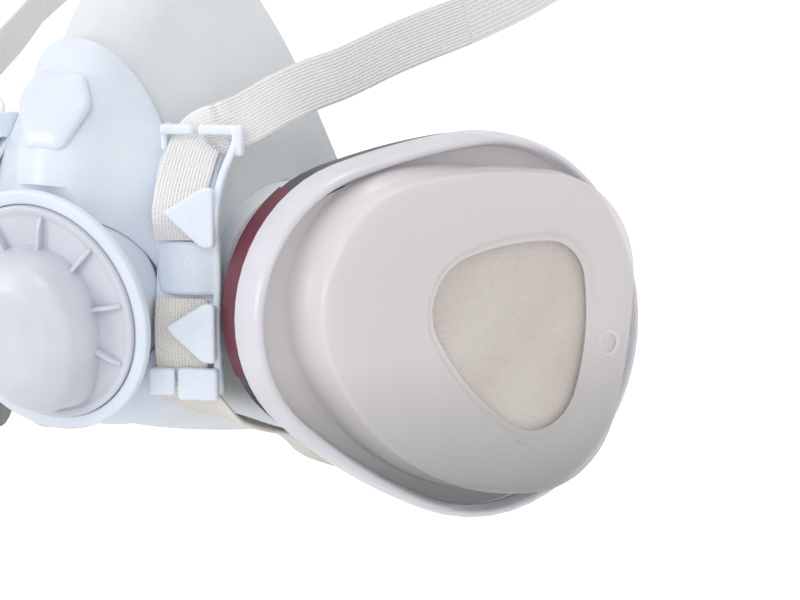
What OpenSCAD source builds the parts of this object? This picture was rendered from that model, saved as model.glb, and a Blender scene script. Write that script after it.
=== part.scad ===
// Half-mask respirator for painting: a soft facepiece in a hard front shell, two twist-off
// gas cartridges under press-on particulate retainers, valves, and a head harness.
// +Z is up, the wearer looks along -Y, and +X is the wearer's left.
// The origin is the centre of the face opening at mouth height.

/* [Facepiece] */
// Half width of the rim across the cheeks
rim_half_w = 55; // [53:0.5:57]
// Height of the nose end of the rim above the mouth
rim_top = 92; // [90:0.5:94]
// Drop of the chin end of the rim below the mouth
rim_drop = 41; // [40:0.5:43]
// Thickness of the silicone wall
wall = 2.6; // [2.2:0.2:3]
// Width of the lip that turns in against the face
lip_w = 12; // [9:0.5:14]

/* [Exhalation valve] */
// Reach of the valve rim ahead of the face opening
valve_reach = 64; // [63:0.5:65]
// Downward tilt of the valve axis, in degrees
valve_tilt = 8.8; // [7:0.2:10]
// Radius of the valve housing's rim
valve_r = 30; // [29.5:0.1:30.2]

/* [Cartridge] */
// Sweep of the cartridge axis away from straight ahead, in degrees
cart_sweep = 62; // [61:0.5:63]
// Distance of the cartridge's back plate from the middle plane
cart_x = 53.7; // [53.2:0.1:54.5]
// Depth of the cartridge case from back plate to lid
case_depth = 10.5; // [10:0.25:10.75]
// Height of the retainer's face above the cartridge's back plate
dome_top = 27; // [26:0.5:28]

/* [Ports] */
// Turn that frees a cartridge from its port, in degrees
release_turn = 30; // [28:1:40]
// Bore radius of the port socket
port_r = 14; // [13.5:0.25:14]

/* [Harness] */
// Width of the elastic webbing
strap_w = 12.5; // [12:0.5:13]
// Thickness of the webbing
strap_t = 1.4; // [1:0.1:1.6]

/* [Hidden] */
$fn = 64;

shell_blue = [0.86, 0.90, 0.94];
silicone_grey = [0.80, 0.83, 0.84];
rubber_grey = [0.62, 0.66, 0.70];
webbing_cream = [0.90, 0.88, 0.84];

// Arc steps of one corner and of one side of a rounded outline
arc_steps = 8;
// Clearance that lets a turning or sliding piece move
gap = 0.3;
// Valve tower behind the rim: outer and bore radius
tower_r = 23.6;
tower_bore = 21.4;

// Rounded triangles: corner centres, corner radii, and radii of the bulging sides between them
RIM = [[[0, rim_top - 18], [-17, 38 - rim_drop], [17, 38 - rim_drop]],
    [18, rim_half_w - 17, rim_half_w - 17], [600, 120, 600]];
FRONT = [[[0, 4], [-3.5, -2], [3.5, -2]], [16, 16, 16], [22, 22, 22]];
SKIRT = [[[11, 0], [44.5, -11.5], [40.5, -6]], [32.5, 42, 43], [157, 268, 193]];
DOME = [[[17.3, 2.3], [52.2, -26], [52, 2.8]], [29, 22.5, 27.3], [69, 133, 137]];
BASE = [[[17.3, 2.3], [52.2, -26], [52, 2.8]], [31.5, 24, 26.3], [72, 136, 138]];
WINDOW = [[[31, 0], [49, -20], [51, 2]], [13.5, 13, 13], [70, 60, 70]];

// Cartridge stack, measured along its axis from the back plate
floor_t = 1.6;
back_low = -4.4;
band_low = -1.2;
band_high = 5.8;
// The printed band ends on a line through this point, turned from the cartridge's upright
label_end = [-6, 30];
label_turn = -16;
skirt_low = 6.5;
bead_top = 16;
crest = dome_top - 2.6;
pad_low = case_depth + 0.1;
pad_step = 17.2;
pad_top = 23.6;
port_centre = [4, 5];
port_set = -4.2;
cart_origin = [cart_x, -29.2, 0.7];

// Strap anchor: its own frame has x across the webbing, y up and z out of the mask
anchor_origin = [27.4, -41.5, 0];
anchor_turn = 21;
rail_in = strap_w / 2 + 0.7;
rail_out = rail_in + 1.7;

// Webbing routes on the wearer's left: centre line and the direction of the webbing's width
upper_route = concat([for (p = [[0, 18, 9], [0, 25, 10.8], [1.2, 33.5, 7], [3.4, 41, 1.8]]) on_anchor(p)],
    [[35.6, -38.5, 43.2], [40, -35, 45.5], [44.7, -27, 49.5], [48, -18.5, 52.2], [52.3, -9.5, 54.7],
    [58, 8, 59.8], [66, 27.5, 65]]);
upper_width = [[0.93, 0.36, 0], [0.93, 0.36, 0], [0.93, 0.36, 0], [0.93, 0.36, -0.1], [0.83, 0.38, -0.33],
    [0.74, 0.26, -0.62], [0.48, 0.06, -0.88], [0.3, 0.15, -0.94], [0.2, 0.25, -0.95], [0.2, 0.25, -0.94],
    [0.22, 0.2, -0.95]];
band_route = [[66.2, 28.2, 65.2], [72.5, 54, 72], [76, 82, 81], [71, 114, 93], [50, 142, 105],
    [25, 154, 111], [0, 158, 113]];
band_width = [[-0.22, -0.2, 0.95], [-0.25, -0.12, 0.96], [-0.3, -0.15, 0.94], [-0.3, -0.3, 0.9],
    [-0.25, -0.4, 0.87], [-0.12, -0.5, 0.85], [0, -0.52, 0.85]];
lower_route = concat(
    [for (p = [[0, 3.6, 8.6], [0, -4, 10.4], [0, -11, 9.4], [0.4, -17.5, 7.4]]) on_anchor(p)],
    [[34.5, -42, -24.6], [38.5, -35, -28.5], [44.5, -23, -33.5], [48.5, -14, -38.8], [57, 12, -46],
    [62.5, 38, -50], [65, 55, -51.5], [66.5, 72, -52], [62, 98, -52], [46, 121, -52], [28, 132, -52],
    [17.2, 134, -52]]);
lower_width = [[0.93, 0.36, 0], [0.93, 0.36, 0], [0.93, 0.36, 0], [0.93, 0.33, -0.1],
    [0.9, 0.2, -0.2], [0.85, 0, -0.2], [0.82, -0.3, 0.1], [0.7, -0.3, 0.5], [0.3, -0.1, 0.9], [0.1, 0, 1],
    [0, 0, 1], [0, 0, 1], [0, 0, 1], [0, 0, 1], [0, 0, 1], [0, 0, 1]];
slider_at = 10;
clip_y = 134;
clip_z = -52;

function on_anchor(p) = anchor_origin + [cos(anchor_turn), sin(anchor_turn), 0] * p[0] + [0, 0, p[1]]
    + [sin(anchor_turn), -cos(anchor_turn), 0] * p[2];

// ---- outlines and skins ----

function unit(v) = v / norm(v);
function side_centre(c1, r1, c2, r2, side_r) =
    let (span = norm(c2 - c1), a = side_r - r1, b = side_r - r2,
         along = (a * a - b * b + span * span) / (2 * span), dir = (c2 - c1) / span)
    c1 + dir * along + [-dir[1], dir[0]] * sqrt(a * a - along * along);
function heading(v) = atan2(v[1], v[0]);
function arc(c, r, a0, a1) =
    let (a2 = a1 < a0 ? a1 + 360 : a1)
    [for (k = [0 : arc_steps - 1]) let (a = a0 + (a2 - a0) * k / arc_steps) c + r * [cos(a), sin(a)]];
// Outline of a rounded triangle, moved outwards by grow, as a list of points
function outline(form, grow = 0) =
    let (c = form[0], r = form[1], s = form[2],
         q = [for (i = [0 : 2]) side_centre(c[i], r[i], c[(i + 1) % 3], r[(i + 1) % 3], s[i])])
    [for (i = [0 : 2]) let (j = (i + 1) % 3, p = (i + 2) % 3)
        each concat(arc(c[i], r[i] + grow, heading(c[i] - q[p]), heading(c[i] - q[i])),
                    arc(q[i], s[i] + grow, heading(c[i] - q[i]), heading(c[j] - q[i])))];
function at_height(points, h) = [for (p = points) [p[0], p[1], h]];
// Rings of one outline, each grown and lifted by a pair of levels
function layers(form, levels) = [for (v = levels) at_height(outline(form, v[0]), v[1])];

// Closed skin over a stack of rings; a looped skin joins its last ring to its first
module skin(rings, looped = false) {
    n = len(rings[0]);
    m = len(rings);
    walls = [for (i = [0 : looped ? m - 1 : m - 2], j = [0 : n - 1])
        let (next = (i + 1) % m, turn = (j + 1) % n,
             a = i * n + j, b = i * n + turn, c = next * n + turn, d = next * n + j)
        each [[a, d, c], [a, c, b]]];
    caps = looped ? [] : [[for (j = [0 : n - 1]) j], [for (j = [n - 1 : -1 : 0]) (m - 1) * n + j]];
    polyhedron(points = [for (r = rings) each r], faces = concat(walls, caps), convexity = 8);
}

// Smooth curve through a list of points
function between(p0, p1, p2, p3, t) = 0.5 * (2 * p1 + (p2 - p0) * t
    + (2 * p0 - 5 * p1 + 4 * p2 - p3) * t * t + (3 * p1 - p0 - 3 * p2 + p3) * t * t * t);
function smooth(p, steps) = let (last = len(p) - 1)
    concat([for (i = [0 : last - 1], k = [0 : steps - 1])
        between(p[max(i - 1, 0)], p[i], p[i + 1], p[min(i + 2, last)], k / steps)], [p[last]]);
function across(w, t) = unit(w - t * (w * t));

// Flat webbing of a rectangular section along a route
module webbing(route, widths, w = strap_w, t = strap_t, steps = 4) {
    p = smooth(route, steps);
    d = smooth(widths, steps);
    last = len(p) - 1;
    rings = [for (i = [0 : last])
        let (along = unit(p[min(i + 1, last)] - p[max(i - 1, 0)]), side = across(d[i], along),
             up = cross(along, side), a = side * w / 2, b = up * t / 2)
        [p[i] + a + b, p[i] - a + b, p[i] - a - b, p[i] + a - b]];
    skin(rings);
}

// ---- facepiece surface ----

function rim_y(z) = z > 40 ? 2 - 16 * pow((z - 40) / 52, 3) : 2;
function front_y(z) = -42 - (z > 0 ? 16 : 8) * pow(z / 20, 2);
// How far the surface bulges forward of the straight line from front to rim, most beside the nose
function bulge(u) = 22 + (u[1] > 0 ? 16 * pow(2 * u[0] * u[1], 2) : 0);
// Ring of the mask surface: reach 0 is the valve opening and 1 the rim, grow moves it outwards
function mask_ring(reach, grow = 0) =
    let (front = outline(FRONT, grow), rim = outline(RIM, grow), n = len(rim))
    [for (i = [0 : n - 1]) mask_point(front[i], rim[i], is_list(reach) ? reach[i] : reach, grow)];
function mask_point(f, r, t, grow) =
    let (a = [f[0], front_y(f[1]), f[1]], c = [r[0], rim_y(r[1]), r[1]], u = unit(r),
         b = (a + c) / 2 + [3 * u[0], -bulge(u), 3 * u[1]])
    a * (1 - t) * (1 - t) + b * 2 * t * (1 - t) + c * t * t - [0, grow * (1 - t), 0];

// ---- frames ----

module mirrored(side) {
    if (side > 0) children();
    else mirror([1, 0, 0]) children();
}
module cartridge_frame(side) {
    mirrored(side) translate(cart_origin) rotate([90, 0, cart_sweep]) children();
}
module port_frame(side) {
    cartridge_frame(side) translate([port_centre[0], port_centre[1], port_set]) children();
}
module valve_frame() {
    translate([0, -valve_reach, 0]) rotate([90 + valve_tilt, 0, 0]) children();
}
module anchor_frame(side) {
    mirrored(side) translate(anchor_origin) rotate([90, 0, anchor_turn]) children();
}
module ring(outer, inner, low, high) {
    translate([0, 0, low]) difference() {
        cylinder(r = outer, h = high - low);
        translate([0, 0, -1]) cylinder(r = inner, h = high - low + 2);
    }
}
module slab(form, grow, low, high) {
    translate([0, 0, low]) linear_extrude(high - low) polygon(outline(form, grow));
}

// ---- facepiece and shell ----

module facepiece() {
    outer_steps = 10;
    lip = outline(RIM, -lip_w);
    color(silicone_grey) difference() {
        union() {
            skin(concat(
                [for (k = [outer_steps : -1 : 0]) mask_ring(k / outer_steps)],
                [for (k = [0 : outer_steps - 1]) mask_ring(k / outer_steps * 0.99, -wall)],
                [[for (p = lip) [p[0], rim_y(p[1]) + 1.5, p[1]]],
                 [for (p = lip) [p[0], rim_y(p[1]) + 3, p[1]]]]), looped = true);
            for (side = [-1, 1]) port_frame(side) ring(port_r + 9, port_r + 2, -12, -4.4);
        }
        for (side = [-1, 1]) port_frame(side) {
            translate([0, 0, -18]) cylinder(r = port_r + 3.9, h = 30);
            translate([0, 0, -26]) cylinder(r = port_r + 7.5, h = 14);
        }
        valve_frame() translate([0, 0, -30]) cylinder(r = tower_r - 1, h = 40);
        valve_frame() translate([0, 0, -16.8]) cylinder(r = tower_r + gap, h = 30);
    }
}

module front_shell() {
    gap_in = 0.4;
    thick = 2;
    steps = 5;
    edge = [for (p = outline(RIM)) let (lean = max(0, unit(p)[1])) 0.38 + 0.165 * pow(lean, 6)];
    function part_way(k) = [for (e = edge) e * k / steps];
    color(shell_blue) difference() {
        skin(concat([for (k = [steps : -1 : 0]) mask_ring(part_way(k), gap_in + thick)],
                    [for (k = [0 : steps]) mask_ring(part_way(k), gap_in)]), looped = true);
        valve_frame() translate([0, 0, -30]) cylinder(r = tower_r + gap, h = 60);
        valve_frame() translate([0, 0, -7]) cylinder(r = valve_r + gap, h = 30);
        for (side = [-1, 1]) port_frame(side) translate([0, 0, -30]) cylinder(r = port_r + 9.4, h = 60);
    }
}

module size_plate() {
    corners = [[-6.6, 9.5], [-10.4, 2], [-5.4, -9.5], [5.4, -9.5], [10.4, 2], [6.6, 9.5]];
    color(shell_blue) translate([0, -56.6, 47]) rotate([90 - 24, 0, 0])
        linear_extrude(2.6) polygon(corners);
}

// ---- exhalation valve, in its own frame with the seat plane at 0 ----

module valve_housing() {
    rim_in = valve_r - 3.4;
    color(shell_blue) valve_frame() rotate_extrude() polygon([[rim_in, 0], [valve_r, 0], [valve_r, -2],
        [tower_r + 2.4, -6.5], [tower_r, -8], [tower_r, -16.5], [tower_r - 1, -16.5], [tower_r - 1, -22],
        [tower_bore, -22], [tower_bore, -5.6], [rim_in, -4.5]]);
}

module exhalation_seat() {
    spokes = 6;
    color(rubber_grey) valve_frame() {
        ring(tower_bore - 0.1, 13, -9, -7);
        ring(4, 2.1, -10, -7);
        for (i = [0 : spokes - 1]) rotate([0, 0, i * 360 / spokes])
            translate([3.5, -0.8, -9]) cube([10, 1.6, 2]);
    }
}

module exhalation_flap() {
    color(silicone_grey) valve_frame() {
        translate([0, 0, -6.9]) cylinder(r = 17, h = 0.8);
        translate([0, 0, -11]) cylinder(r = 1.9, h = 4.5);
    }
}

// Smooth shield over the valve, stretched down towards the outlet
module shield(r, h) {
    drop = 7.5;
    hull() for (y = [-drop, 0]) translate([0, y, 0]) rotate_extrude($fn = 32)
        polygon([[0, -0.6], [r, -0.6], [r - 0.4, h * 0.4], [r - 3, h * 0.75], [r - 8, h * 0.95], [0, h]]);
}

module exhalation_cover() {
    ribs = [-25, 10, 45, 80, 115, 150, 185, 220];
    outlet_w = 18;
    shield_r = 17;
    cover_r = valve_r - 3.4 - gap;
    color(rubber_grey) valve_frame() difference() {
        union() {
            translate([0, 0, -0.6]) cylinder(r = cover_r, h = 1.6);
            ring(cover_r, cover_r - 1.5, -3.6, -0.6);
            shield(shield_r, 12.5);
            for (a = ribs) rotate([0, 0, a]) translate([shield_r - 0.4, -0.5, 0.6]) cube([8, 1, 1.8]);
        }
        translate([0, 0, -0.1]) shield(shield_r - 1.6, 11);
        translate([-outlet_w / 2, -shield_r - 10, 1.2]) cube([outlet_w, 7, 3]);
    }
}

// ---- strap anchor, in its own frame ----

// Route of the side rail, from the top bar down
rail_route = [[13.4, 43.5, 3.6], [12.2, 39, 4.8], [10.3, 33.5, 7.6], [9.2, 28, 10], [8.8, 22.5, 10.6],
    [8.7, 17, 8.8],
    [8.7, 11, 7.8], [8.7, 5, 8], [8.7, -3, 9.8], [8.7, -9, 9.2], [8.7, -14, 8.2], [8.7, -19, 6.4]];
// Route of the saddle that the webbing lies on
saddle_route = [[2, 39.5, -1.4], [1.2, 33, 5], [0.6, 25, 8.9], [0.6, 18, 7.1], [0.6, 11, 5],
    [0.6, 3.6, 6.6], [0.6, -4, 8.5], [0.6, -10, 7.6], [0.6, -15, 6.2]];

module strap_anchor(side) {
    bar_y = 42.2;
    bar_z = 4;
    hook_lift = 11.8;
    edge_x = -strap_w / 2 - 1.6;
    bar_x = -5.4;
    color(shell_blue) anchor_frame(side) {
        webbing(rail_route, [for (p = rail_route) [0, 0, 1]], 3.2, 1.8, 2);
        webbing(saddle_route, [for (p = saddle_route) [1, 0, 0]], strap_w + 2, 1.4, 2);
        // split top bar over the webbing, with its turned-down corner
        translate([bar_x, bar_y, bar_z - 1]) cube([8, 2.2, 2.6]);
        translate([bar_x, bar_y - 4, -2]) cube([1.4, 6.2, 6]);
        translate([3.8, bar_y, bar_z - 1]) cube([10.6, 2.2, 2.6]);
        translate([12, bar_y - 5, 2.4]) cube([2.4, 7.2, 3.8]);
        // hooks that hold the webbing down
        for (low = [17, -10.5]) translate([0, low, hook_lift])
            linear_extrude(1.4) polygon([[rail_out, 0], [rail_out, 13.5], [rail_in - 0.4, 13.5],
                [-2.4, 7.5], [rail_in - 1, 0]]);
        for (low = [17, -10.5]) translate([rail_in, low, 8.5]) cube([1.8, 13, 3.6]);
        // buckle block between the two loops of webbing
        translate([-strap_w / 2, 5, 5]) cube([strap_w + 2.4, 12, 4.2]);
        // split clips at the bottom
        translate([edge_x, -19, 9.6]) cube([6.4, 6, 1.4]);
        translate([edge_x, -19, 5]) cube([1.4, 6, 5]);
        translate([-0.8, -20, 9.6]) cube([rail_out + 0.8, 7, 1.6]);
    }
}

// ---- ports and inhalation valves, in the port frame ----

module port_socket(side) {
    entry_w = 8;
    color(shell_blue) port_frame(side) difference() {
        union() {
            ring(port_r + 3.5, port_r, -15, -2.5);
            ring(port_r + 7, port_r, -4.2, -2.5);
        }
        translate([0, 0, -10]) cylinder(r = port_r + 1.8, h = 3.4);
        for (a = [0 : 120 : 240]) rotate([0, 0, a + side * release_turn])
            translate([0, -entry_w / 2, -8]) cube([port_r + 1.8, entry_w, 8]);
        translate([0, 0, -4]) ring(port_r + 1.9, port_r + 0.4, 0.4, 3);
    }
}

module port_nut(side) {
    spokes = 3;
    color(rubber_grey) port_frame(side) {
        ring(port_r + 7, port_r + 3.6, -16, -12);
        ring(port_r - 0.1, port_r - 2.4, -14.8, -13.4);
        ring(3.4, 2.1, -14.8, -13.4);
        for (i = [0 : spokes - 1]) rotate([0, 0, i * 360 / spokes])
            translate([3, -0.8, -14.8]) cube([9, 1.6, 1.4]);
    }
}

module port_gasket(side) {
    color([0.2, 0.2, 0.22]) port_frame(side) ring(port_r + 1.8, port_r + 0.5, -3.5, -0.8);
}

module inhalation_flap(side) {
    color(silicone_grey) port_frame(side) {
        translate([0, 0, -15.6]) cylinder(r = port_r - 1, h = 0.6);
        translate([0, 0, -15.2]) cylinder(r = 1.9, h = 3.2);
    }
}

// ---- cartridge, in the cartridge frame ----

module cartridge_case(side) {
    lugs = 3;
    lug_w = 7;
    neck_in = port_r - 2.4;
    color([0.26, 0.28, 0.29]) cartridge_frame(side) {
        difference() {
            union() {
                slab(SKIRT, -0.4, back_low, band_low);
                slab(SKIRT, 1.6, band_low - 0.4, skirt_low - gap);
                slab(SKIRT, 0, skirt_low - 1, case_depth);
            }
            slab(SKIRT, -1.4, back_low + floor_t, case_depth + 1);
            translate([port_centre[0], port_centre[1], back_low - 1]) cylinder(r = neck_in, h = 4);
        }
        translate([port_centre[0], port_centre[1], port_set]) {
            ring(port_r - gap, neck_in, -10.4, back_low + floor_t - port_set);
            for (i = [0 : lugs - 1]) rotate([0, 0, i * 360 / lugs])
                translate([neck_in + 0.6, -lug_w / 2, -9.6]) cube([2.8, lug_w, 2.6]);
        }
    }
}

module label_band(side) {
    color([0.42, 0.19, 0.24]) cartridge_frame(side) intersection() {
        difference() {
            slab(SKIRT, 2, band_low, band_high);
            slab(SKIRT, 1.6, band_low - 1, band_high + 1);
        }
        translate([label_end[0], label_end[1], band_low]) rotate([0, 0, label_turn])
            translate([-60, -90, 0]) cube([60, 120, band_high - band_low]);
    }
}

module carbon_bed(side) {
    color([0.12, 0.12, 0.12]) cartridge_frame(side)
        slab(SKIRT, -1.6, back_low + floor_t + 0.1, case_depth - 1.5);
}

module cartridge_grille(side) {
    pitch = 10;
    color([0.26, 0.28, 0.29]) cartridge_frame(side) difference() {
        slab(SKIRT, -1.5, case_depth - 1.4, case_depth - 0.2);
        for (i = [-3 : 4], j = [-4 : 3])
            let (x = 35 + pitch * (i + (j % 2 == 0 ? 0 : 0.5)), y = -8 + pitch * 0.87 * j)
            if (norm([x - 36, y + 7]) < 37)
                translate([x, y, case_depth - 3]) cylinder(r = 3, h = 6, $fn = 32);
    }
}

module particulate_pad(side) {
    color([0.80, 0.78, 0.73]) cartridge_frame(side) {
        slab(BASE, -2.6, pad_low, pad_step);
        slab(DOME, -3, pad_step, pad_top);
    }
}

module retainer_cover(side) {
    t = 1.2;
    rim = [[3, skirt_low], [2.9, 11], [2.2, bead_top - 0.8], [1.4, bead_top], [0.6, bead_top - 0.4],
        [0, 12.6]];
    foot = [[0, 12.4], [-0.4, 17]];
    flank = [[0.8, 19.2], [0, crest - 0.6], [-1, crest + 1], [-4, crest + 1.8], [-9, dome_top]];
    lift = dome_top - 1.6;
    window = [[2.6, dome_top], [0, lift], [-1, lift]];
    window_back = [[-1, lift - t], [0.6, lift - t], [3, dome_top - t]];
    under = [[-8, dome_top - t], [-3.6, crest + 0.6], [-1.8, crest - 0.4], [-0.6, 19.6]];
    heel = [[-1.8, 17.4], [-1.3, 11.2]];
    socket = [[-1, 11.2], [2.1, 11.8], [2.2, skirt_low]];
    levels = concat(layers(WINDOW, window_back), layers(DOME, under), layers(BASE, heel),
        layers(SKIRT, concat(socket, rim)), layers(BASE, foot), layers(DOME, flank),
        layers(WINDOW, window));
    color([0.86, 0.85, 0.85]) cartridge_frame(side) skin(levels, looped = true);
}

// ---- harness ----

module upper_strap(side) {
    color(webbing_cream) mirrored(side) webbing(upper_route, upper_width);
}

module lower_strap(side) {
    color(webbing_cream) mirrored(side) webbing(lower_route, lower_width, steps = 3);
}

// A list of points followed by its own mirror image, joined at the middle plane
function there_and_back(p) = concat(p, [for (i = [len(p) - 2 : -1 : 0]) [-p[i][0], p[i][1], p[i][2]]]);

module crown_band() {
    color(webbing_cream) webbing(there_and_back(band_route), there_and_back(band_width), steps = 3);
}

module strap_slider(side) {
    at = lower_route[slider_at];
    along = lower_route[slider_at + 1] - lower_route[slider_at - 1];
    slot = [8, strap_t + 1.8, strap_w + 1.8];
    turn = heading([along[0], along[1]]);
    color(shell_blue) mirrored(side) translate(at) rotate([0, 0, turn]) difference() {
        cube([7, slot[1] + 3, slot[2] + 4], center = true);
        cube([8, slot[1], slot[2]], center = true);
    }
}

module neck_hook() {
    color(shell_blue) translate([0, clip_y, clip_z]) {
        translate([9, -1.5, -9]) cube([7.6, 3, 18]);
        translate([-4, -1.5, -4]) cube([13.5, 3, 8]);
        translate([-4, -1.5, -6]) cube([3, 3, 12]);
    }
}

module neck_loop() {
    color(shell_blue) translate([0, clip_y, clip_z]) difference() {
        translate([-16.6, -3.2, -9]) cube([19, 6.4, 18]);
        translate([-6, -1.8, -6.3]) cube([20, 3.6, 12.6]);
    }
}

facepiece();
front_shell();
size_plate();
valve_housing();
exhalation_seat();
exhalation_flap();
exhalation_cover();
strap_anchor(1);  // strap_anchor_left
strap_anchor(-1);  // strap_anchor_right
port_socket(1);  // port_socket_left
port_socket(-1);  // port_socket_right
port_nut(1);  // port_nut_left
port_nut(-1);  // port_nut_right
port_gasket(1);  // port_gasket_left
port_gasket(-1);  // port_gasket_right
inhalation_flap(1);  // inhalation_flap_left
inhalation_flap(-1);  // inhalation_flap_right
cartridge_case(1);  // cartridge_case_left
cartridge_case(-1);  // cartridge_case_right
label_band(1);  // label_band_left
label_band(-1);  // label_band_right
carbon_bed(1);  // carbon_bed_left
carbon_bed(-1);  // carbon_bed_right
cartridge_grille(1);  // cartridge_grille_left
cartridge_grille(-1);  // cartridge_grille_right
particulate_pad(1);  // particulate_pad_left
particulate_pad(-1);  // particulate_pad_right
retainer_cover(1);  // retainer_cover_left
retainer_cover(-1);  // retainer_cover_right
upper_strap(1);  // upper_strap_left
upper_strap(-1);  // upper_strap_right
lower_strap(1);  // lower_strap_left
lower_strap(-1);  // lower_strap_right
crown_band();
strap_slider(1);  // strap_slider_left
strap_slider(-1);  // strap_slider_right
neck_hook();
neck_loop();
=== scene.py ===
"""Half-mask painting respirator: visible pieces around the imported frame, in millimetres times MM."""

import math

import bmesh
import bpy
from mathutils import Matrix, Vector


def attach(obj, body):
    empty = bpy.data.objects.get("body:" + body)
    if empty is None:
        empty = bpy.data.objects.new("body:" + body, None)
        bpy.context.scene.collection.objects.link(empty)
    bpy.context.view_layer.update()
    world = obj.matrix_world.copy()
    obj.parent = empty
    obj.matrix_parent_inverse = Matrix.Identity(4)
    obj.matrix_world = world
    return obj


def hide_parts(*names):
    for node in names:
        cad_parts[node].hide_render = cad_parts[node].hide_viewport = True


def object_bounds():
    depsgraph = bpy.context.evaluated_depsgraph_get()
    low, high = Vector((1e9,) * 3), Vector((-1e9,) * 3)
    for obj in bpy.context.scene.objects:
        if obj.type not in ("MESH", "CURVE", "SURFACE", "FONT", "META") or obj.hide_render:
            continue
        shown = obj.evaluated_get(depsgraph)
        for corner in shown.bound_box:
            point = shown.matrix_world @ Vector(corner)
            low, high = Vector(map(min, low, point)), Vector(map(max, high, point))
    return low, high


MM = 0.001
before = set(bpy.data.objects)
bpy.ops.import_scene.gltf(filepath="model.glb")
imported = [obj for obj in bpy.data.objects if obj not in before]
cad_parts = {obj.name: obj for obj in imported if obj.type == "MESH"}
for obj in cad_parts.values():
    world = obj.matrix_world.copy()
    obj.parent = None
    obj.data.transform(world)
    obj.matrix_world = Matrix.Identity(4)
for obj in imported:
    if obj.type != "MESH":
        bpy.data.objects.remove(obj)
cad_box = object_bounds()

# ---- driving dimensions, in millimetres and degrees, as in the part's source ----

RIM = ([(0, 74), (-17, -3), (17, -3)], (18, 38, 38), (600, 120, 600))
FRONT = ([(0, 4), (-3.5, -2), (3.5, -2)], (16, 16, 16), (22, 22, 22))
SKIRT = ([(11, 0), (44.5, -11.5), (40.5, -6)], (32.5, 42, 43), (157, 268, 193))
DOME = ([(17.3, 2.3), (52.2, -26), (52, 2.8)], (29, 22.5, 27.3), (69, 133, 137))
BASE = ([(17.3, 2.3), (52.2, -26), (52, 2.8)], (31.5, 24, 26.3), (72, 136, 138))
WINDOW = ([(31, 0), (49, -20), (51, 2)], (13.5, 13, 13), (70, 60, 70))
WALL = 2.6
VALVE_REACH, VALVE_TILT, VALVE_R = 64, 8.8, 30
TOWER_R, TOWER_BORE = 23.6, 21.4
CART_ORIGIN, CART_SWEEP = (53.7, -29.2, 0.7), 62
PORT_CENTRE, PORT_SET, PORT_R = (4, 5), -4.2, 14
CASE_BACK, FLOOR_T, CASE_DEPTH = -4.4, 1.6, 10.5
DOME_TOP, CREST_DROP, WINDOW_DROP, RETAINER_T = 27, 2.6, 1.6, 1.3
BAND_LOW, BAND_HIGH, SKIRT_LOW, BEAD_TOP = -1.2, 5.8, 6.5, 16
LABEL_END, LABEL_TURN = (-6, 30), -16
ANCHOR_ORIGIN, ANCHOR_TURN = (27.4, -41.5, 0), 21
STRAP_W, STRAP_T = 12.5, 1.4


# ---- frames ----

def placed(origin, turn, tilt=90, side=1):
    """Frame at origin, tilted about X and then turned about Z, mirrored for the wearer's right."""
    flip = Matrix.Diagonal((side, 1, 1, 1))
    spin = Matrix.Rotation(math.radians(turn), 4, "Z") @ Matrix.Rotation(math.radians(tilt), 4, "X")
    return flip @ Matrix.Translation(origin) @ spin


def cartridge_frame(side):
    return placed(CART_ORIGIN, CART_SWEEP, side=side)


def port_frame(side):
    return cartridge_frame(side) @ Matrix.Translation((*PORT_CENTRE, PORT_SET))


def anchor_frame(side):
    return placed(ANCHOR_ORIGIN, ANCHOR_TURN, side=side)


VALVE = placed((0, -VALVE_REACH, 0), 0, 90 + VALVE_TILT)
HERE = Matrix.Identity(4)


# ---- outlines and curves ----

def side_centre(c1, r1, c2, r2, side_r):
    span = (c2 - c1).length
    a, b = side_r - r1, side_r - r2
    along = (a * a - b * b + span * span) / (2 * span)
    way = (c2 - c1) / span
    return c1 + way * along + Vector((-way.y, way.x)) * math.sqrt(a * a - along * along)


def arc(c, r, start, end, steps):
    a0, a1 = math.atan2(start.y, start.x), math.atan2(end.y, end.x)
    a1 += math.tau if a1 < a0 else 0
    angles = [a0 + (a1 - a0) * k / steps for k in range(steps)]
    return [c + r * Vector((math.cos(a), math.sin(a))) for a in angles]


def outline(form, grow=0, steps=18):
    """Rounded triangle with bulging sides, moved outwards by grow."""
    c = [Vector(p) for p in form[0]]
    r, s = form[1], form[2]
    q = [side_centre(c[i], r[i], c[(i + 1) % 3], r[(i + 1) % 3], s[i]) for i in range(3)]
    points = []
    for i in range(3):
        j, p = (i + 1) % 3, (i + 2) % 3
        points += arc(c[i], r[i] + grow, c[i] - q[p], c[i] - q[i], steps)
        points += arc(q[i], s[i] + grow, c[i] - q[i], c[j] - q[i], steps)
    return points


def smooth(points, steps):
    """Catmull-Rom curve through points."""
    p = [Vector(v) for v in points]
    last = len(p) - 1
    curve = []
    for i in range(last):
        a, b, c, d = p[max(i - 1, 0)], p[i], p[i + 1], p[min(i + 2, last)]
        for k in range(steps):
            t = k / steps
            curve.append(0.5 * (2 * b + (c - a) * t + (2 * a - 5 * b + 4 * c - d) * t * t
                                + (3 * b - a - 3 * c + d) * t ** 3))
    return curve + [p[last]]


def fillet(points, radius, closed=False, steps=4):
    """Polyline with its corners rounded."""
    n = len(points)
    path = []
    for i in range(n):
        p = Vector(points[i])
        if not closed and i in (0, n - 1):
            path.append(p)
            continue
        a, b = Vector(points[i - 1]) - p, Vector(points[(i + 1) % n]) - p
        reach = min(radius, 0.45 * a.length, 0.45 * b.length)
        start, end = p + a.normalized() * reach, p + b.normalized() * reach
        for k in range(steps + 1):
            t = k / steps
            path.append(start * (1 - t) ** 2 + p * 2 * t * (1 - t) + end * t * t)
    return path


# ---- mesh builders ----

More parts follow.
